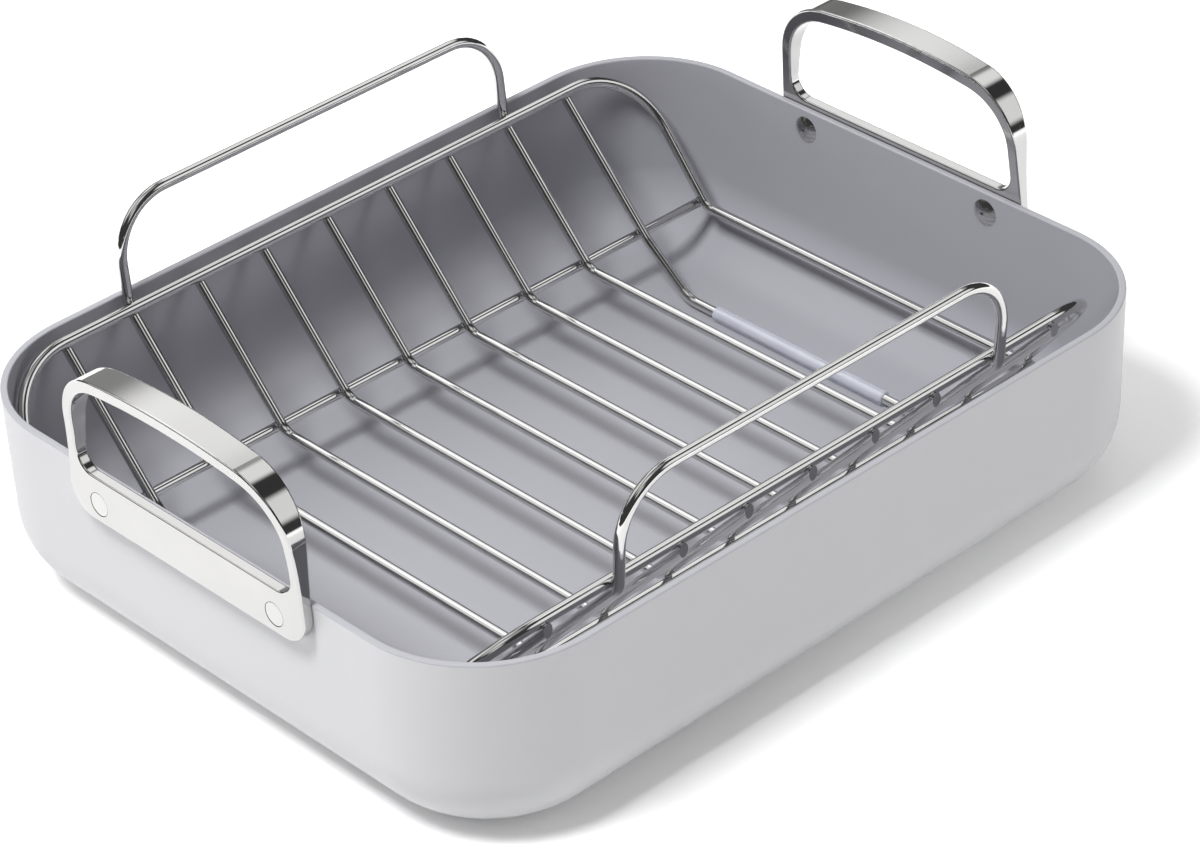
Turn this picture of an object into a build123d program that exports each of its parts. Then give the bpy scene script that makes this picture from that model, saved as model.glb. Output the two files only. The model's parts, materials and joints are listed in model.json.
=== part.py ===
from build123d import *
import math
import os

# Roasting pan with a lift-out wire rack. Millimetres, +Z up. The origin is the middle of the pan's
# flat base, and +X runs along the pan's long side, from the left handle to the right one.

# Pan shell
rim_length = 406.0
rim_width = 327.7
pan_height = 92.0
plan_corner_radius = 58.5
wall = 3.2
base_thickness = 4.3
base_edge_radius = 35.0
rim_edge_radius = 0.7
wall_draft_angle = 0.7

# Pan handles, each a plate on the short wall that runs up into a flat arched band
handle_plate_thickness = 5.0
handle_plate_drop = 19.0
handle_plate_rise = 2.6
handle_half_width = 72.4
handle_rise = 58.0
handle_band_thickness = 6.3
handle_leg_width = 5.4
handle_crown_radius = 315.0
handle_shoulder_radius = 31.0
handle_foot_radius = 13.0
opening_shoulder_radius = 25.0
opening_foot_radius = 9.0
handle_flare = 6.9
handle_band_inset = 4.6
handle_edge_radius = 0.9
handle_side_angle = 3.4

# Rivets that hold the handles
rivet_inset = 18.0
rivet_drop = 10.0
rivet_shank_diameter = 6.4
rivet_head_diameter = 13.0
rivet_head_height = 2.2
rivet_end_diameter = 10.4
rivet_end_depth = 1.6
rivet_groove_gap = 0.3
rivet_hole_clearance = 0.05

# Rack, a V-shaped cradle of bent wires that stands in the pan
rack_setback = 6.0
rack_sideways = -1.4
rack_end_gap = 11.3
hoop_wall_gap = 1.25
rack_floor_height = 29.0
cradle_slope_run = 49.1
cradle_top_drop = 3.1
frame_wire_diameter = 5.2
frame_corner_radius = 36.0
frame_end_step = 3.0
cross_wire_count = 5
cross_wire_diameter = 4.7
cross_wire_reach = 3.7
cross_wire_bend_radius = 10.0
long_wire_diameter = 4.6
long_wire_overhang = 1.5
long_wire_end_radius = 1.2
weld_depth = 0.3

# Rack feet
foot_dip_run = 26.8
foot_bend_radius = 15.0
foot_knee_radius = 20.0
sleeve_diameter = 6.9
sleeve_end_inset = 17.7
sleeve_bore_clearance = 0.1
sleeve_edge_radius = 0.8
foot_seat_gap = 0.3

# Rack handles, the two upright hoops of one closed wire
hoop_wire_diameter = 5.0
hoop_rise = 42.4
hoop_lean_out = 3.3
hoop_corner_radius = 27.0
hoop_knee_radius = 8.0

# One length by which every cutting shape runs past what it cuts
overrun = 4.0


def turned_wire(corners, bend_radii, diameter, closed=False):
    """Round wire of straight runs joined by tangent arcs, with one bend radius for each turn"""
    points = [Vector(*corner) for corner in corners]
    if closed:
        start = end = (points[-1] + points[0]) / 2
        turns = points
    else:
        start, end = points[0], points[-1]
        turns = points[1:-1]
    stations = [start] + turns + [end]
    edges = []
    position = start
    for before, corner, after, radius in zip(stations, turns, stations[2:], bend_radii):
        come = (corner - before).normalized()
        leave = (after - corner).normalized()
        half_turn = math.radians(come.get_angle(leave)) / 2
        inward = (leave - come).normalized()
        setback = radius * math.tan(half_turn)
        bend_start = corner - come * setback
        bend_middle = corner + inward * (radius / math.cos(half_turn) - radius)
        bend_end = corner + leave * setback
        edges.append(Line(position, bend_start))
        edges.append(ThreePointArc(bend_start, bend_middle, bend_end))
        position = bend_end
    edges.append(Line(position, end))
    section = Plane(origin=start, z_dir=stations[1] - start) * Circle(diameter / 2)
    return sweep(section, path=Wire([part.edge() for part in edges]))


def across(profile, x):
    """Corner points of a wire in the plane X = x, mirrored from one side's (y, z) list to the other"""
    far_side = [(x, y, z) for y, z in profile]
    near_side = [(x, -y, z) for y, z in reversed(profile)]
    return far_side + near_side


def there_and_back(radii):
    """Bend radii of one side, then the same ones mirrored"""
    return radii + radii[::-1]


# Pan shell

def drafted_block(inset, floor_height, edge_radius):
    """Rounded box with drafted sides, its mouth at the rim and its floor at floor_height"""
    mouth = RectangleRounded(rim_length - 2 * inset, rim_width - 2 * inset, plan_corner_radius - inset)
    block = extrude(Plane.XY.offset(pan_height) * mouth, pan_height - floor_height,
                    dir=(0, 0, -1), taper=wall_draft_angle)
    return fillet(block.edges().group_by(Axis.Z)[0], edge_radius)


def wall_place(side, y):
    """Plane on the inner face of the short wall at a rivet, its Z pointing squarely out of the wall"""
    slope = math.radians(wall_draft_angle)
    x = rim_length / 2 - wall - rivet_drop * math.tan(slope)
    outward = (side * math.cos(slope), 0, -math.sin(slope))
    return Plane(origin=(side * x, y, pan_height - rivet_drop), x_dir=(0, 1, 0), z_dir=outward)


rivet_y = handle_half_width - rivet_inset
rivet_places = [wall_place(side, y) for side in (-1, 1) for y in (-rivet_y, rivet_y)]
rivet_length = wall + handle_plate_thickness


def bored(body):
    """The body with the rivets' holes through it and the sinks for their outer ends"""
    hole_radius = rivet_shank_diameter / 2 + rivet_hole_clearance
    sink_radius = rivet_end_diameter / 2 + rivet_groove_gap
    sink_floor = rivet_length - rivet_end_depth
    for place in rivet_places:
        hole = Cylinder(hole_radius, rivet_length + 2 * overrun)
        sink = Cylinder(sink_radius, rivet_end_depth + overrun, align=(Align.CENTER, Align.CENTER, Align.MIN))
        body -= place * Pos(0, 0, rivet_length / 2) * hole
        body -= place * Pos(0, 0, sink_floor) * sink
    return body


def pan_shell():
    outside = drafted_block(0, 0, base_edge_radius)
    inside = drafted_block(wall, base_thickness, base_edge_radius - wall)
    shell = outside - inside
    shell = fillet(shell.edges().group_by(Axis.Z)[-1], rim_edge_radius)
    return bored(shell)


# Pan handles

def arch(half_width, foot, top, crown_radius, shoulder_radius, foot_radius):
    """Upright outline with sides that lean in, an arched top and rounded corners"""
    lean = math.tan(math.radians(handle_side_angle))
    shoulder = half_width - lean * (top - pan_height)
    foot_width = half_width + lean * (pan_height - foot)
    shoulder_height = top - crown_radius + math.sqrt(crown_radius ** 2 - shoulder ** 2)
    edges = Polyline((-shoulder, shoulder_height), (-foot_width, foot), (foot_width, foot),
                     (shoulder, shoulder_height))
    edges += ThreePointArc((shoulder, shoulder_height), (0, top), (-shoulder, shoulder_height))
    outline = make_face(edges)
    corners = outline.vertices().group_by(Axis.Y)
    outline = fillet(corners[-1], shoulder_radius)
    return fillet(outline.vertices().group_by(Axis.Y)[0], foot_radius)


def side_profile():
    """Section of the handle across the wall: a plate, then a band that widens and flares out"""
    wall_face = rim_length / 2
    plate_face = wall_face + handle_plate_thickness
    low = pan_height - handle_plate_drop - overrun
    ledge = pan_height + handle_plate_rise
    high = pan_height + handle_rise + overrun
    lines = Polyline((wall_face - handle_band_inset, high), (wall_face, pan_height),
                     (wall_face - wall / 2, pan_height), (wall_face - wall / 2, low),
                     (plate_face, low), (plate_face, ledge))
    flare = TangentArc((plate_face, ledge), (plate_face + handle_flare, high), tangent=(0, 1))
    lines += flare
    lines += Line((plate_face + handle_flare, high), (wall_face - handle_band_inset, high))
    return make_face(lines)


def right_handle():
    wall_plane = Plane(origin=(rim_length / 2, 0, 0), x_dir=(0, 1, 0), z_dir=(1, 0, 0))
    top = pan_height + handle_rise
    outer = arch(handle_half_width, pan_height - handle_plate_drop, top,
                 handle_crown_radius, handle_shoulder_radius, handle_foot_radius)
    opening = arch(handle_half_width - handle_leg_width, pan_height + handle_plate_rise,
                   top - handle_band_thickness, handle_crown_radius - handle_band_thickness,
                   opening_shoulder_radius, opening_foot_radius)
    reach = 2 * (handle_plate_thickness + handle_flare + handle_band_inset)
    ring = extrude(wall_plane * (outer - opening), reach, both=True)
    section = extrude(Plane.XZ * side_profile(), handle_half_width + 2 * overrun, both=True)
    handle = ring & section
    handle -= drafted_block(0, 0, base_edge_radius)
    front = rim_length / 2 + handle_plate_thickness - handle_edge_radius
    front_edges = handle.edges().filter_by(lambda edge: edge.center().X > front)
    handle = fillet(front_edges, handle_edge_radius)
    above = pan_height + handle_plate_rise
    back_edges = handle.edges().filter_by(
        lambda edge: edge.center().X < rim_length / 2 and edge.center().Z > above)
    return bored(fillet(back_edges, handle_edge_radius))


def rivet():
    """Domed head inside the pan, shank through wall and plate, and a flat end in the plate's sink"""
    head_radius = rivet_head_diameter / 2
    dome_radius = (head_radius ** 2 + rivet_head_height ** 2) / (2 * rivet_head_height)
    dome = Pos(0, 0, dome_radius - rivet_head_height) * Sphere(dome_radius)
    keep = Cylinder(head_radius + overrun, rivet_head_height, align=(Align.CENTER, Align.CENTER, Align.MAX))
    shank = Cylinder(rivet_shank_diameter / 2, rivet_length, align=(Align.CENTER, Align.CENTER, Align.MIN))
    end = Cylinder(rivet_end_diameter / 2, rivet_end_depth, align=(Align.CENTER, Align.CENTER, Align.MIN))
    return (dome & keep) + shank + Pos(0, 0, rivet_length - rivet_end_depth) * end


# Rack wires, each drawn about the rack's own middle and set in the pan by in_pan

def welded_distance(diameter, other_diameter):
    """Distance of two wires' middles where they are welded, pressed a little into each other"""
    return (diameter + other_diameter) / 2 - weld_depth


rear_wall = rim_width / 2 - wall
hoop_leg_y = rear_wall - rack_setback - hoop_wall_gap - hoop_wire_diameter / 2
cradle_top_y = hoop_leg_y - welded_distance(hoop_wire_diameter, frame_wire_diameter)
cradle_top_height = pan_height - cradle_top_drop
cradle_foot_y = cradle_top_y - cradle_slope_run
cradle_rise = cradle_top_height - rack_floor_height
cradle_side = math.hypot(cradle_rise, cradle_slope_run)
cradle_top = (cradle_top_y, cradle_top_height)
cradle_foot = (cradle_foot_y, rack_floor_height)
frame_slope = math.atan2(cradle_rise, cradle_slope_run)

left_wall = rim_length / 2 - wall
frame_end_x = left_wall + rack_sideways - rack_end_gap - frame_wire_diameter / 2
wire_pitch = (frame_end_x - frame_end_step) / ((cross_wire_count + 5) / 2)
cross_wire_places = [(index - (cross_wire_count - 1) / 2) * wire_pitch for index in range(cross_wire_count)]
hoop_x = (cross_wire_count + 1) / 2 * wire_pitch
foot_x = hoop_x + wire_pitch
foot_run_end_y = cradle_foot_y - foot_dip_run
foot_run_height = base_thickness + foot_seat_gap + sleeve_diameter / 2


def in_pan(shape):
    return Pos(rack_sideways, rack_setback, 0) * shape


def slope_under_frame(diameter):
    """Slope of a wire that rises from the cradle's foot and touches the frame wire from outside"""
    return frame_slope - math.asin(welded_distance(diameter, frame_wire_diameter) / cradle_side)


def on_slope(y, slope):
    return (y, rack_floor_height + (y - cradle_foot_y) * math.tan(slope))


def rack_frame_wire():
    """Closed wire along both top edges, which drops down the slopes and crosses the floor at each end"""
    right_end = across([cradle_top, cradle_foot], frame_end_x)
    left_end = across([cradle_top, cradle_foot], -frame_end_x)
    radii = there_and_back([frame_corner_radius, cross_wire_bend_radius])
    return in_pan(turned_wire(right_end + left_end[::-1], radii * 2, frame_wire_diameter, closed=True))


def rack_hoop_wire(frame_wire):
    """Closed wire: two cross runs whose ends rise outside the frame wire and join as upright hoops"""
    slope = slope_under_frame(hoop_wire_diameter)
    profile = [(hoop_leg_y + hoop_lean_out, pan_height + hoop_rise), on_slope(hoop_leg_y, slope), cradle_foot]
    right_run = across(profile, hoop_x)
    left_run = across(profile, -hoop_x)
    radii = there_and_back([hoop_corner_radius, hoop_knee_radius, cross_wire_bend_radius])
    return in_pan(turned_wire(right_run + left_run[::-1], radii * 2, hoop_wire_diameter, closed=True)) - frame_wire


def cut_upright(wire, x):
    """The wire with its two ends cut off upright, just outside the frame wire"""
    width = 2 * (cradle_top_y + cross_wire_reach)
    keep = Box(2 * cross_wire_diameter, width, 2 * (cradle_top_height + overrun))
    return wire & (Pos(x, 0, 0) * keep)


def cross_wire(x, frame_wire):
    end_y = cradle_top_y + cross_wire_reach + overrun
    profile = [on_slope(end_y, slope_under_frame(cross_wire_diameter)), cradle_foot]
    wire = turned_wire(across(profile, x), [cross_wire_bend_radius] * 2, cross_wire_diameter)
    return in_pan(cut_upright(wire, x)) - frame_wire


def foot_wire(x, frame_wire):
    """Like a cross wire, but its lower run dips to the pan's floor"""
    end_y = cradle_top_y + cross_wire_reach + overrun
    profile = [on_slope(end_y, slope_under_frame(cross_wire_diameter)), cradle_foot,
               (foot_run_end_y, foot_run_height)]
    radii = there_and_back([foot_knee_radius, foot_bend_radius])
    wire = turned_wire(across(profile, x), radii, cross_wire_diameter)
    return in_pan(cut_upright(wire, x)) - frame_wire


def long_wire_place():
    """(y, z) that touches the cross wires' slope and the frame wire's slope from below at once"""
    slope = slope_under_frame(cross_wire_diameter)
    reach = welded_distance(cross_wire_diameter, long_wire_diameter)
    frame_reach = welded_distance(frame_wire_diameter, long_wire_diameter)
    spread = math.sin(frame_slope - slope)
    y = (frame_reach * math.cos(slope) - reach * math.cos(frame_slope)) / spread
    z = (frame_reach * math.sin(slope) - reach * math.sin(frame_slope)) / spread
    return cradle_foot_y + y, rack_floor_height + z


def long_wire(side, carried):
    """Straight wire under the foot of one slope, welded to every wire in carried"""
    y, z = long_wire_place()
    length = 2 * (frame_end_x + long_wire_overhang)
    wire = Rot(0, 90, 0) * Cylinder(long_wire_diameter / 2, length)
    wire = in_pan(Pos(0, side * y, z) * fillet(wire.edges().filter_by(GeomType.CIRCLE), long_wire_end_radius))
    return wire - carried


def foot_sleeve(x):
    """Soft tube round a foot wire's lower run"""
    length = 2 * (foot_run_end_y - sleeve_end_inset)
    bore = Cylinder(cross_wire_diameter / 2 + sleeve_bore_clearance, length + 2 * overrun)
    tube = fillet(Cylinder(sleeve_diameter / 2, length).edges().filter_by(GeomType.CIRCLE), sleeve_edge_radius)
    return in_pan(Pos(x, 0, foot_run_height) * Rot(90, 0, 0) * (tube - bore))


def rack_nodes():
    frame_wire = rack_frame_wire()
    nodes = {"rack_frame_wire": frame_wire, "rack_hoop_wire": rack_hoop_wire(frame_wire)}
    for number, x in enumerate(cross_wire_places, 1):
        nodes[f"cross_wire_{number}"] = cross_wire(x, frame_wire)
    for name, side in (("left", -1), ("right", 1)):
        nodes[f"foot_wire_{name}"] = foot_wire(side * foot_x, frame_wire)
    carried = list(nodes.values())
    for name, side in (("front", -1), ("rear", 1)):
        nodes[f"long_wire_{name}"] = long_wire(side, carried)
    for name, side in (("left", -1), ("right", 1)):
        nodes[f"foot_sleeve_{name}"] = foot_sleeve(side * foot_x)
    return nodes


def pan_nodes():
    handle = right_handle()
    return {"pan_shell": pan_shell(),
            "pan_handle_right": handle,
            "pan_handle_left": mirror(handle, about=Plane.YZ),
            "handle_rivets": Compound(children=[place * rivet() for place in rivet_places])}


os.makedirs("parts", exist_ok=True)
for name, shape in (pan_nodes() | rack_nodes()).items():
    export_step(shape, f"parts/{name}.step")
    print(name, round(shape.volume, 1))
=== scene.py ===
# %% [markdown]
# # A roasting pan with a lift-out rack
#
# The pan is a drawn aluminium box with a satin ceramic coat. Two polished steel handles are riveted to its
# short walls. In it stands a cradle of polished steel wire with silicone sleeves on its feet. The CAD model
# already has every piece at full size, so this lesson is about what the eye adds: a shell whose curved
# walls reflect cleanly, weld beads, and finishes that look like coated metal, polished steel and silicone.

# %% Load the frame
import itertools
import json
import math
import random
import bmesh
import bpy
from mathutils import Matrix, Vector
from mathutils.bvhtree import BVHTree


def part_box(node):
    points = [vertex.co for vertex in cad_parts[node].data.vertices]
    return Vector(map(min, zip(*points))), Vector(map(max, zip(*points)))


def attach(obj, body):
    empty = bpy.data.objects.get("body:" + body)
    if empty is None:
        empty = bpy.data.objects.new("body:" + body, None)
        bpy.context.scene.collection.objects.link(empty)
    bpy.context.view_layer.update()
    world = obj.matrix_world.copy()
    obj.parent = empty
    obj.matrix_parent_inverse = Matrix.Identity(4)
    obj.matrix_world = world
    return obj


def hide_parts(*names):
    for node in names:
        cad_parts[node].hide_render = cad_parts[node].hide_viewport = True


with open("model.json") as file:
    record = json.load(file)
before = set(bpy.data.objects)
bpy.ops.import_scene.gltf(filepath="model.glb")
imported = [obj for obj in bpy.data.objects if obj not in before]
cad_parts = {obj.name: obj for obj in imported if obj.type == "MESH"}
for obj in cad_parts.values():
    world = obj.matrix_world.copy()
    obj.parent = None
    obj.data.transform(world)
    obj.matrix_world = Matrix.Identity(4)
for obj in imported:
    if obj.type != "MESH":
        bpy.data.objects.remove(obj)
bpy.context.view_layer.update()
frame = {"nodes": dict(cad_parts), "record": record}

MM = 0.001
nodes = frame["nodes"]

# %% [markdown]
# The camera is worked out from the photograph: the rim, the silhouette and the rack's wires fix the
# direction, the distance and the lens. A long lens from nearly two metres gives the calm, nearly parallel
# lines of a catalogue picture. The picture is 1200 by 850 pixels, and Blender measures a lens against the
# sensor's width, so the focal length in pixels is turned into millimetres on a 36 mm sensor.

# %% Place the camera
PICTURE_WIDTH = 1200
SENSOR_WIDTH = 36.0
FOCAL_PIXELS = 4325.3
AIM = Vector((-23.9, -43.5, 74.7)) * MM
FARTHEST_SEEN = 50.0
DISTANCE = 1.781
AZIMUTH, ELEVATION, ROLL = (math.radians(angle) for angle in (42.23, 33.58, -2.74))

forward = Vector((math.sin(AZIMUTH) * math.cos(ELEVATION), math.cos(AZIMUTH) * math.cos(ELEVATION),
                  -math.sin(ELEVATION)))
level_right = forward.cross(Vector((0, 0, 1))).normalized()
level_up = level_right.cross(forward)
right = level_right * math.cos(ROLL) + level_up * math.sin(ROLL)
up = level_up * math.cos(ROLL) - level_right * math.sin(ROLL)
camera_data = bpy.data.cameras.new("camera")
camera_data.sensor_fit = "HORIZONTAL"
camera_data.sensor_width = SENSOR_WIDTH
camera_data.lens = FOCAL_PIXELS / PICTURE_WIDTH * SENSOR_WIDTH
camera_data.clip_end = FARTHEST_SEEN
camera = bpy.data.objects.new("camera", camera_data)
turn = Matrix((right, up, -forward)).transposed().to_4x4()
camera.matrix_world = Matrix.Translation(AIM - forward * DISTANCE) @ turn
bpy.context.scene.collection.objects.link(camera)
bpy.context.scene.camera = camera
bpy.context.scene.view_settings.view_transform = "Standard"
print("lens", round(camera_data.lens, 2), "mm at", [round(v, 3) for v in camera.location])

# %% [markdown]
# Shader trees are wordy when every node is linked by hand. One small class wraps an output socket, and
# ordinary arithmetic on it adds Math nodes, so a mask or a roughness can be written as a formula. A second
# class holds one material: it adds any node by its type and hands back wrapped outputs.

# %% A socket that does arithmetic
class Field:
    """An output socket of a tree; arithmetic on it adds Math nodes"""

    def __init__(self, tree, socket):
        self.tree = tree
        self.socket = socket

    def math(self, operation, *values):
        node = self.tree.nodes.new("ShaderNodeMath")
        node.operation = operation
        for slot, value in zip(node.inputs, values):
            set_socket(self.tree, slot, value)
        return Field(self.tree, node.outputs[0])

    def __add__(self, other): return self.math("ADD", self, other)
    def __radd__(self, other): return self.math("ADD", other, self)
    def __sub__(self, other): return self.math("SUBTRACT", self, other)
    def __rsub__(self, other): return self.math("SUBTRACT", other, self)
    def __mul__(self, other): return self.math("MULTIPLY", self, other)
    def __rmul__(self, other): return self.math("MULTIPLY", other, self)


def set_socket(tree, slot, value):
    """Links a wrapped socket to a slot, or writes a plain value in it"""
    if isinstance(value, Field):
        tree.links.new(value.socket, slot)
    else:
        slot.default_value = value


print("arithmetic on a socket: add, subtract and multiply")

# %% [markdown]
# A colour picker gives a colour as it shows on screen, from 0 to 255, but a shader works with amounts of
# light. The second helper turns the one into the other, so the colours below can be read as screen colours.

# %% A tree of nodes, and colours for it
class Tree:
    """A node tree to which nodes are added by type, settings and socket values"""

    def __init__(self, tree):
        self.tree = tree

    def add(self, kind, settings=None, **inputs):
        node = self.tree.nodes.new("ShaderNode" + kind)
        for name, value in (settings or {}).items():
            setattr(node, name, value)
        for name, value in inputs.items():
            set_socket(self.tree, node.inputs[name.replace("_", " ")], value)
        return node

    def out(self, kind, output, settings=None, **inputs):
        return Field(self.tree, self.add(kind, settings, **inputs).outputs[output])

    def mix(self, factor, first, second):
        """A colour between two; the colour sockets of a Mix node are inputs 6 and 7 and output 2"""
        node = self.add("Mix", {"data_type": "RGBA"})
        for index, value in ((0, factor), (6, first), (7, second)):
            set_socket(self.tree, node.inputs[index], value)
        return Field(self.tree, node.outputs[2])


def paint(red, green, blue):
    """A colour as it shows on screen, 0 to 255, turned into the linear values that shaders use"""
    def linear(level):
        share = level / 255
        return share / 12.92 if share <= 0.04045 else ((share + 0.055) / 1.055) ** 2.4
    return (linear(red), linear(green), linear(blue), 1)


print("a grey of 128 on screen reflects", round(paint(128, 128, 128)[0], 3), "of the light")

# %% [markdown]
# Polished steel shows what is round it and nothing else, so the studio is built as a photographer would
# build it: a dim room with a few soft boxes. Each box is a soft round patch on the world, made by comparing
# the direction of the ray with the direction of the box. The box behind the pan draws the bright tops of
# the handles, and the dark left between the boxes draws the black patches and the thin dark lines on the
# wires. Directions are in degrees from the pan, and levels are shares of a full white.

# %% World
world = bpy.data.worlds.new("studio")
bpy.context.scene.world = world
world.use_nodes = True
sky = Tree(world.node_tree)
ray = sky.out("TexCoord", "Generated")


def toward(azimuth, elevation):
    """A direction from the pan; degrees, azimuth counted from +Y toward +X"""
    turn, lift = math.radians(azimuth), math.radians(elevation)
    return Vector((math.sin(turn) * math.cos(lift), math.cos(turn) * math.cos(lift), math.sin(lift)))


def soft_box(azimuth, elevation, full, faded, level):
    """A round light on the world, even as far as one angle and faded out at another"""
    facing = sky.add("VectorMath", {"operation": "DOT_PRODUCT"}, Vector=ray)
    facing.inputs[1].default_value = toward(azimuth, elevation)
    edge = sky.out("MapRange", "Result", {"interpolation_type": "SMOOTHSTEP"},
                   Value=Field(sky.tree, facing.outputs["Value"]),
                   From_Min=math.cos(math.radians(faded)), From_Max=math.cos(math.radians(full)))
    return edge * level


ROOM_LEVEL = 0.05
behind = soft_box(azimuth=42, elevation=36, full=5, faded=17, level=1.2)
behind_low = soft_box(azimuth=25, elevation=16, full=8, faded=24, level=0.3)
behind_high = soft_box(azimuth=12, elevation=49, full=5, faded=16, level=1.8)
behind_left = soft_box(azimuth=330, elevation=42, full=10, faded=30, level=0.9)
behind_right = soft_box(azimuth=72, elevation=54, full=8, faded=16, level=1.1)
above_left = soft_box(azimuth=250, elevation=66, full=8, faded=24, level=0.6)
overhead = soft_box(azimuth=0, elevation=90, full=6, faded=26, level=0.4)
right_side = soft_box(azimuth=138, elevation=29, full=13, faded=22, level=1.0)
by_camera = soft_box(azimuth=216, elevation=40, full=4, faded=14, level=0.7)
boxes_behind = behind + behind_low + behind_high + behind_left + behind_right
world_light = boxes_behind + above_left + overhead + right_side + by_camera + ROOM_LEVEL
set_socket(world.node_tree, world.node_tree.nodes["Background"].inputs["Color"], world_light)
print("world: a dim room with nine soft boxes")

# %% [markdown]
# The background is the floor itself, and it should come out white without more light on the pan. So its
# material glows, but only for rays from the camera and for rays that a mirror or a clear body passes on:
# the pan isn't lit by it, and the polished steel still shows a white floor. In front of the pan the key
# lamp nearly whitens the floor by itself, so the glow is weakest there and grows with the distance from
# there.
# The glow is also painted light on the pan's cast shadow: weak in front, it leaves the shadow under the
# front wall deep, and stronger on the right, it paints the shadow there lighter than the lamps leave it. A
# floor that only glowed would hide the shadow; a pale floor under the glow keeps the shadow and its soft
# edge.
#
# The key stands high on the left, so that every wire throws its shadow across the pan's floor. Two long low
# lamps lift the two walls that face the camera, one each, to their different greys. No lamp is mirrored in
# the steel, where it would put a hot dot on every bend; the soft boxes do that work.

# %% Floor and lamps
FLOOR_HALF_WIDTH = 12.0
FLOOR_PAINT = paint(244, 244, 244)
# The glow is weakest at this point in front of the pan; its growth from here is painted light that lightens
# the pan's shadow on the right
GLOW_CENTRE = (-0.3, -0.35, 0.0)
GLOW_NEAR, GLOW_FAR = 0.3, 2.0
GLOW_WEAKEST, GLOW_FULL = 0.15, 1.0
PAN_MIDDLE = Vector((0, 0, 0.05))

bpy.ops.object.select_all(action="DESELECT")
bpy.ops.mesh.primitive_plane_add(size=2 * FLOOR_HALF_WIDTH, location=(0, 0, 0))
floor = bpy.context.object
floor.name = "floor"

floor_material = bpy.data.materials.new("white_floor")
floor_material.use_nodes = True
floor_tree = Tree(floor_material.node_tree)
floor_shader = floor_material.node_tree.nodes["Principled BSDF"]
floor_shader.inputs["Base Color"].default_value = FLOOR_PAINT
floor_shader.inputs["Roughness"].default_value = 1.0
floor_shader.inputs["Specular IOR Level"].default_value = 0.0
path = floor_tree.add("LightPath")
seen = Field(floor_tree.tree, path.outputs["Is Camera Ray"])
seen = seen.math("MAXIMUM", seen, Field(floor_tree.tree, path.outputs["Is Glossy Ray"]))
seen = seen.math("MAXIMUM", seen, Field(floor_tree.tree, path.outputs["Is Transmission Ray"]))
from_centre = floor_tree.add("VectorMath", {"operation": "DISTANCE"},
                             Vector=floor_tree.out("TexCoord", "Object"))
from_centre.inputs[1].default_value = GLOW_CENTRE
# Painted light: this glow paints the pan's cast shadow on the right lighter, and leaves the shadow in front
# deep
backdrop_glow_painted_light = floor_tree.out("MapRange", "Result", Value=Field(floor_tree.tree, from_centre.outputs["Value"]),
                      From_Min=GLOW_NEAR, From_Max=GLOW_FAR, To_Min=GLOW_WEAKEST, To_Max=GLOW_FULL)
set_socket(floor_tree.tree, floor_shader.inputs["Emission Color"], backdrop_glow_painted_light * seen)
floor_shader.inputs["Emission Strength"].default_value = 1.0
floor.data.materials.append(floor_material)


def soft_lamp(name, place, width, depth, watts):
    """Area lamp that faces the middle of the pan, and that polished steel doesn't mirror"""
    data = bpy.data.lights.new(name, "AREA")
    data.shape = "RECTANGLE"
    data.size = width
    data.size_y = depth
    data.energy = watts
    lamp = bpy.data.objects.new(name, data)
    lamp.location = place
    lamp.rotation_euler = (PAN_MIDDLE - Vector(place)).to_track_quat("-Z", "Y").to_euler()
    lamp.visible_glossy = False
    bpy.context.scene.collection.objects.link(lamp)


soft_lamp("key_lamp", place=(-1.0, -0.03, 1.9), width=0.55, depth=0.55, watts=38)
soft_lamp("left_lamp", place=(-1.9, 1.1, 0.2), width=0.8, depth=0.3, watts=6)
soft_lamp("right_lamp", place=(1.3, -1.9, 0.2), width=0.6, depth=0.3, watts=10)
print("floor", 2 * FLOOR_HALF_WIDTH, "m wide, and", len(bpy.data.lights), "lamps")

# %% [markdown]
# The coat is a satin ceramic paint: a pale grey with the faintest mottle, a soft gloss and the fine orange
# peel of a sprayed coat. It could be one flat colour, but then a wall this large looks like plastic. One
# formula makes three coats of it: the outside is the palest, and the inside is a tone darker. The rim's
# coat is darker as well, and that is painted shade: it greys the narrow top face the way the light leaves
# it.

# %% Coated metal
MOTTLE_SCALE = 14.0
MOTTLE_DARKEST = 0.94
MOTTLE_ROUGHNESS = 0.08
PEEL_SCALE = 900.0
PEEL_HEIGHT = 0.2 * MM
PEEL_STRENGTH = 0.05
MIDDLE = 0.5


def coat_finish(name, colour, roughness, gloss):
    """Satin coat; gloss is the shader's specular level, 0.5 for plain paint"""
    material = bpy.data.materials.new(name)
    material.use_nodes = True
    tree = Tree(material.node_tree)
    shader = material.node_tree.nodes["Principled BSDF"]
    place = tree.out("TexCoord", "Object")
    mottle = tree.out("TexNoise", "Fac", Vector=place, Scale=MOTTLE_SCALE, Detail=4.0)
    peel = tree.out("TexNoise", "Fac", Vector=place, Scale=PEEL_SCALE, Detail=2.0)
    darker = tuple(level * MOTTLE_DARKEST for level in colour[:3]) + (1,)
    set_socket(tree.tree, shader.inputs["Base Color"], tree.mix(mottle, darker, colour))
    set_socket(tree.tree, shader.inputs["Roughness"], roughness + (mottle - MIDDLE) * MOTTLE_ROUGHNESS)
    bump = tree.out("Bump", "Normal", Height=peel, Strength=PEEL_STRENGTH, Distance=PEEL_HEIGHT)
    set_socket(tree.tree, shader.inputs["Normal"], bump)
    shader.inputs["Specular IOR Level"].default_value = gloss
    return material


coat_outside = coat_finish("coat_outside", paint(205, 205, 208), roughness=0.42, gloss=0.5)
coat_inside = coat_finish("coat_inside", paint(172, 172, 179), roughness=0.36, gloss=0.8)
# The rim's darker tone is painted shade on its narrow top face
rim_coat_painted_shade = coat_finish("rim_coat_painted_shade", paint(180, 180, 186), roughness=0.34, gloss=0.5)
print("coats:", ", ".join(coat.name for coat in (coat_outside, coat_inside, rim_coat_painted_shade)))

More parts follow.
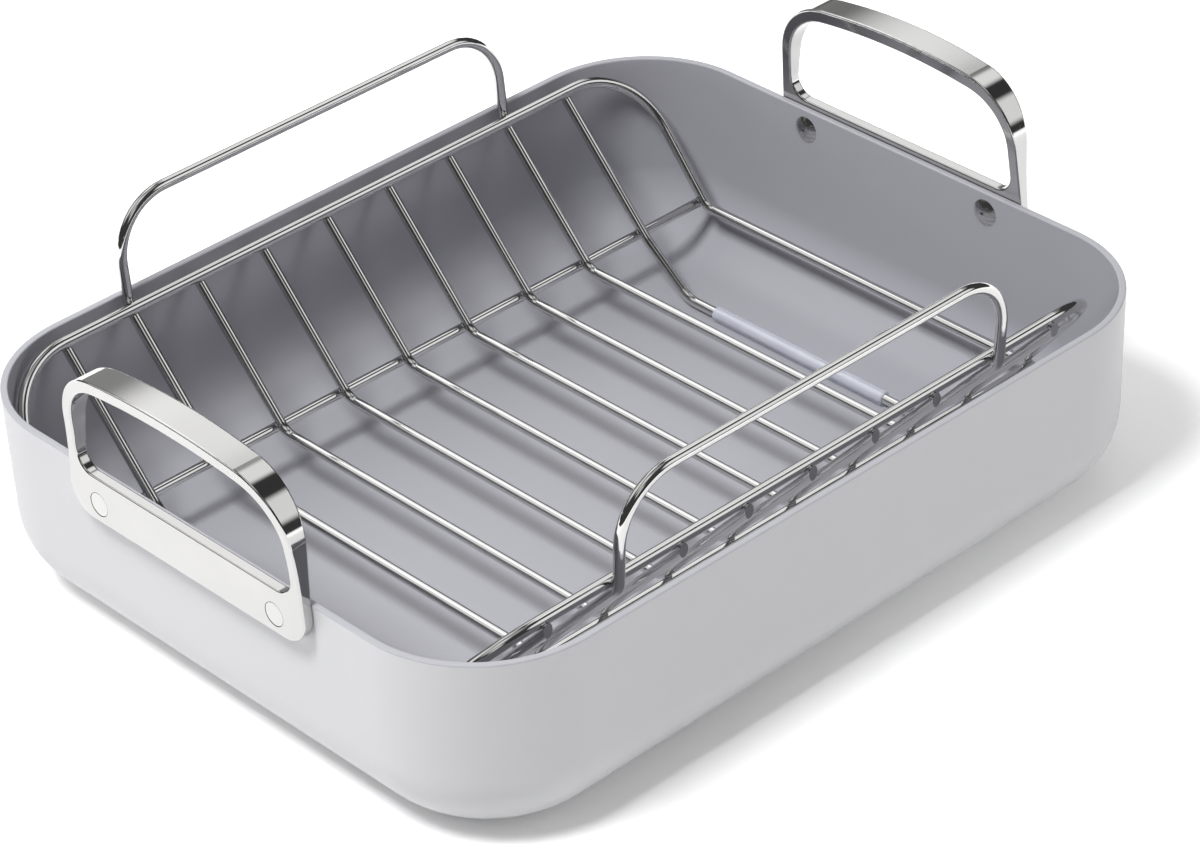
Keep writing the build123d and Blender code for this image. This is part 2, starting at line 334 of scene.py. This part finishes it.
# %% [markdown]
# Handles, wires, rivets and welds are all stainless steel, and differ in how far they were polished. So
# steel is one formula too. The handles are buffed and the wire is drawn bright, so both are near a mirror.
# The rivets were hammered and the welds were only brushed clean, and they blur what they reflect. The noise
# on the roughness and the slight bump are the fine marks of the wheel, which keep the metal from looking
# like liquid.

# %% Polished steel
CLOUD_SCALE = 35.0
CLOUD_TONE = (10, 9, 8)
SCRATCH_ROUGHNESS = 0.03
SCRATCH_HEIGHT = 0.1 * MM
SCRATCH_STRENGTH = 0.008


def steel_finish(name, tone, roughness, grain):
    """Steel of a grey tone from 0 to 255; grain is the scale of its fine scratches"""
    material = bpy.data.materials.new(name)
    material.use_nodes = True
    tree = Tree(material.node_tree)
    shader = material.node_tree.nodes["Principled BSDF"]
    place = tree.out("TexCoord", "Object")
    clouds = tree.out("TexNoise", "Fac", Vector=place, Scale=CLOUD_SCALE, Detail=3.0)
    scratches = tree.out("TexNoise", "Fac", Vector=place, Scale=grain, Detail=3.0)
    cloudy = paint(*(tone + more for more in CLOUD_TONE))
    plain = paint(tone, tone, tone - 1)
    set_socket(tree.tree, shader.inputs["Base Color"], tree.mix(clouds, plain, cloudy))
    set_socket(tree.tree, shader.inputs["Roughness"], roughness + (scratches - MIDDLE) * SCRATCH_ROUGHNESS)
    shader.inputs["Metallic"].default_value = 1.0
    bump = tree.out("Bump", "Normal", Height=scratches, Strength=SCRATCH_STRENGTH, Distance=SCRATCH_HEIGHT)
    set_socket(tree.tree, shader.inputs["Normal"], bump)
    return material


handle_steel = steel_finish("handle_steel", tone=196, roughness=0.07, grain=500.0)
wire_steel = steel_finish("wire_steel", tone=210, roughness=0.06, grain=800.0)
weld_steel = steel_finish("weld_steel", tone=200, roughness=0.20, grain=1500.0)
rivet_steel = steel_finish("rivet_steel", tone=202, roughness=0.14, grain=700.0)
print("steels:", ", ".join(steel.name for steel in (handle_steel, wire_steel, weld_steel, rivet_steel)))

# %% [markdown]
# The sleeves are thin clear silicone, faintly violet, and the wire shows through them. A real refracting
# body would need many more light paths for a tube this small. A wall that is partly see-through looks much
# the same at this size: the steel wire shines through it, and the tube still has its own soft highlights.

# %% Clear silicone
HAZE_SCALE = 60.0
CLEAREST, HAZIER = 0.31, 0.1
SMOOTHEST, ROUGHER = 0.10, 0.06
SILICONE_IOR = 1.41
silicone = bpy.data.materials.new("clear_silicone")
silicone.use_nodes = True
silicone_tree = Tree(silicone.node_tree)
silicone_shader = silicone.node_tree.nodes["Principled BSDF"]
haze = silicone_tree.out("TexNoise", "Fac", Vector=silicone_tree.out("TexCoord", "Object"),
                         Scale=HAZE_SCALE)
set_socket(silicone.node_tree, silicone_shader.inputs["Base Color"],
           silicone_tree.mix(haze, paint(226, 230, 246), paint(240, 243, 253)))
set_socket(silicone.node_tree, silicone_shader.inputs["Alpha"], haze * HAZIER + CLEAREST)
set_socket(silicone.node_tree, silicone_shader.inputs["Roughness"], haze * ROUGHER + SMOOTHEST)
silicone_shader.inputs["IOR"].default_value = SILICONE_IOR
print("silicone:", silicone.name)

# %% [markdown]
# Modelling starts with a few small helpers, because an operator acts on all that is selected. One leaves a
# single piece selected, one selects edges or faces by a test on their place, one applies a modifier, and
# one is such a test: it tells whether a face or an edge lies level at a height.

# %% Helpers for modelling
LEVEL_TOLERANCE = 0.01 * MM


def only(piece):
    """Leaves one piece selected and active, in object mode"""
    bpy.ops.object.select_all(action="DESELECT")
    piece.select_set(True)
    bpy.context.view_layer.objects.active = piece


def pick(piece, kind, wanted):
    """In edit mode, selects the piece's edges or faces that pass a test"""
    bpy.ops.object.mode_set(mode="EDIT")
    bpy.ops.mesh.select_mode(type=kind)
    bpy.ops.mesh.select_all(action="DESELECT")
    cage = bmesh.from_edit_mesh(piece.data)
    for element in (cage.edges if kind == "EDGE" else cage.faces):
        if wanted(element):
            element.select_set(True)
    cage.select_flush_mode()
    bmesh.update_edit_mesh(piece.data)


def apply_modifier(piece, kind, **settings):
    """Adds a modifier with its settings and applies it at once"""
    only(piece)
    bpy.ops.object.modifier_add(type=kind)
    modifier = piece.modifiers[-1]
    for name, value in settings.items():
        setattr(modifier, name, value)
    bpy.ops.object.modifier_apply(modifier=modifier.name)


def level_with(height, *vertices):
    """Whether all the vertices lie at a height, to a hundredth of a millimetre"""
    return all(abs(vertex.co.z - height) < LEVEL_TOLERANCE for vertex in vertices)


print("helpers ready; level to", LEVEL_TOLERANCE / MM, "mm")

# %% [markdown]
# A pan like this is pressed from one sheet, so it has no sharp corner anywhere: round corners in plan, and
# a wide sweep from wall to base. A box with two bevels makes exactly that. The upright edges are rounded
# first, then the bottom is drawn in a little for the draft of the tool, and then the whole bottom loop is
# rounded.

# %% The pressed form
shell_low, shell_high = (Vector(corner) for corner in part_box("pan_shell"))
shell_size = shell_high - shell_low
rim_height = shell_size.z
PLAN_CORNER_RADIUS = 58.5 * MM
BASE_EDGE_RADIUS = 35.0 * MM
WALL_DRAFT = math.radians(0.7)
CORNER_STEPS = 20
SWEEP_STEPS = 18

bpy.ops.object.select_all(action="DESELECT")
bpy.ops.mesh.primitive_cube_add(size=1, location=(0, 0, rim_height / 2), scale=shell_size)
shell = bpy.context.object
shell.name = "roasting_pan_shell"
only(shell)
bpy.ops.object.transform_apply(location=True, rotation=True, scale=True)
pick(shell, "EDGE", lambda edge: edge.verts[0].co.xy == edge.verts[1].co.xy)
bpy.ops.mesh.bevel(offset=PLAN_CORNER_RADIUS, segments=CORNER_STEPS, affect="EDGES")
pick(shell, "FACE", lambda face: level_with(0, *face.verts))
draft = 2 * rim_height * math.tan(WALL_DRAFT)
drawn_in = (1 - draft / shell_size.x, 1 - draft / shell_size.y, 1)
bpy.ops.transform.resize(value=drawn_in, center_override=(0, 0, 0))
pick(shell, "EDGE", lambda edge: level_with(0, *edge.verts))
bpy.ops.mesh.bevel(offset=BASE_EDGE_RADIUS, segments=SWEEP_STEPS, affect="EDGES", clamp_overlap=False)
pick(shell, "FACE", lambda face: level_with(rim_height, *face.verts))
bpy.ops.mesh.delete(type="FACE")
bpy.ops.mesh.select_all(action="SELECT")
bpy.ops.mesh.normals_make_consistent(inside=False)
bpy.ops.object.mode_set(mode="OBJECT")
print("pressed form:", len(shell.data.polygons), "faces")

# %% [markdown]
# The open form gets its wall with Solidify, which also sorts the faces into outside, inside and rim, so
# that each can have its own coat: the outside keeps the first material, and the inside and the rim get the
# second and the third. As in the CAD model the base is thicker than the walls, so the inner side is then
# pressed up a little about the rim. A fine bevel breaks the rim's edges, and Weighted Normal keeps the big
# flat walls flat in the light while the sweeps stay smooth.

# %% Wall, base and rim
WALL = 3.2 * MM
BASE_THICKNESS = 4.3 * MM
RIM_EDGE = 0.7 * MM
RIM_STEPS = 4
SMOOTH_BELOW = math.radians(40)
INSIDE, RIM = 1, 2
for coat in (coat_outside, coat_inside, rim_coat_painted_shade):
    shell.data.materials.append(coat)
apply_modifier(shell, "SOLIDIFY", thickness=WALL, offset=-1, use_even_offset=True,
               material_offset=INSIDE, material_offset_rim=RIM)
pick(shell, "FACE", lambda face: face.material_index == INSIDE)
press = (rim_height - BASE_THICKNESS) / (rim_height - WALL)
bpy.ops.transform.resize(value=(1, 1, press), center_override=(0, 0, rim_height))
pick(shell, "EDGE", lambda edge: len({face.material_index for face in edge.link_faces}) > 1)
bpy.ops.mesh.bevel(offset=RIM_EDGE, segments=RIM_STEPS, affect="EDGES", material=RIM)
bpy.ops.object.mode_set(mode="OBJECT")
bpy.ops.object.shade_smooth_by_angle(angle=SMOOTH_BELOW)
apply_modifier(shell, "WEIGHTED_NORMAL", weight=80, keep_sharp=True)
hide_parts("pan_shell")
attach(shell, "pan")
lowest = min(vertex.co.z for vertex in shell.data.vertices)
print("shell:", len(shell.data.polygons), "faces, lowest point", round(lowest / MM, 2), "mm")

# %% [markdown]
# Where two wires cross, they were pressed together and welded by a current, so a little metal has swelled
# out of the joint. The CAD wires touch there. The places are found, not typed: a vertex of one wire that
# lies on another wire marks the joint, and the middle of each cluster of such vertices is where a bead
# goes. Two wires find the same joint from both sides, so a middle close to one already found is left out.

# %% Where the wires meet
JOINT_REACH = 7 * MM
TOUCH = 0.06 * MM
rack_wires = sorted(name for name in nodes if "wire" in name)
graph = bpy.context.evaluated_depsgraph_get()
surfaces = {name: BVHTree.FromObject(nodes[name], graph) for name in rack_wires}
joints = []
for wire, other in itertools.permutations(rack_wires, 2):
    clusters = []
    for vertex in nodes[wire].data.vertices:
        if surfaces[other].find_nearest(vertex.co, TOUCH)[0] is None:
            continue
        near = [cluster for cluster in clusters if (cluster[0] - vertex.co).length < JOINT_REACH]
        if near:
            near[0].append(vertex.co.copy())
        else:
            clusters.append([vertex.co.copy()])
    for cluster in clusters:
        middle = sum(cluster, Vector()) / len(cluster)
        if all((middle - place).length > JOINT_REACH / 2 for place in joints):
            joints.append(middle)
print("welded joints:", len(joints))

# %% [markdown]
# The bead is one small lump, modelled once: a ball squeezed at its poles, with its waist pushed out to a
# soft ridge. Each copy has its own mesh, a little larger or smaller than the last, with a flat side turned
# up and toward the middle of the rack. All of them are joined into one piece that rides on the rack.

# %% Weld beads
BEAD_RADIUS = 1.8 * MM
BEAD_HALF_HEIGHT = 1.2 * MM
BEAD_RIDGE = 1.08
BEAD_SMALLEST, BEAD_LARGEST = 0.92, 1.08
bpy.ops.object.select_all(action="DESELECT")
bpy.ops.mesh.primitive_uv_sphere_add(segments=16, ring_count=8, radius=BEAD_RADIUS, location=(0, 0, 0))
bead = bpy.context.object
bead.name = "weld_bead"
pick(bead, "FACE", lambda face: True)
bpy.ops.transform.resize(value=(1, 1, BEAD_HALF_HEIGHT / BEAD_RADIUS), center_override=(0, 0, 0))
pick(bead, "EDGE", lambda edge: level_with(0, *edge.verts))
bpy.ops.transform.resize(value=(BEAD_RIDGE, BEAD_RIDGE, 1), center_override=(0, 0, 0))
bpy.ops.object.mode_set(mode="OBJECT")
bpy.ops.object.shade_smooth()

random.seed(7)
beads = []
for place in joints:
    copy = bead.copy()
    copy.data = bead.data.copy()
    bpy.context.scene.collection.objects.link(copy)
    inward = Vector((0, -math.copysign(1, place.y), 1)).normalized()
    turn = inward.to_track_quat("Z", "Y").to_matrix().to_4x4()
    swell = Matrix.Scale(random.uniform(BEAD_SMALLEST, BEAD_LARGEST), 4)
    copy.data.transform(Matrix.Translation(place) @ turn @ swell)
    beads.append(copy)
bpy.data.objects.remove(bead)
bpy.ops.object.select_all(action="DESELECT")
for copy in beads:
    copy.select_set(True)
bpy.context.view_layer.objects.active = beads[0]
bpy.ops.object.join()
weld_beads = bpy.context.object
weld_beads.name = "weld_beads"
weld_beads.data.materials.append(weld_steel)
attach(weld_beads, "rack")
print("weld beads:", len(beads), "lumps,", len(weld_beads.data.polygons), "faces")

# %% [markdown]
# The wires, handles, rivets and sleeves come from the CAD as they are, for their shapes are exact there.
# Each only needs its finish, and the record already says of every node what it is made of.

# %% Give the CAD nodes their finishes
FINISHES = {"coated_pan": coat_outside, "handle_steel": handle_steel, "rivet_steel": rivet_steel,
            "rack_steel": wire_steel, "clear_silicone": silicone}
for part in frame["record"]["subparts"]:
    nodes[part["node"]].material_slots[0].material = FINISHES[part["material_slot"]]
print("finishes on", len(nodes), "nodes")
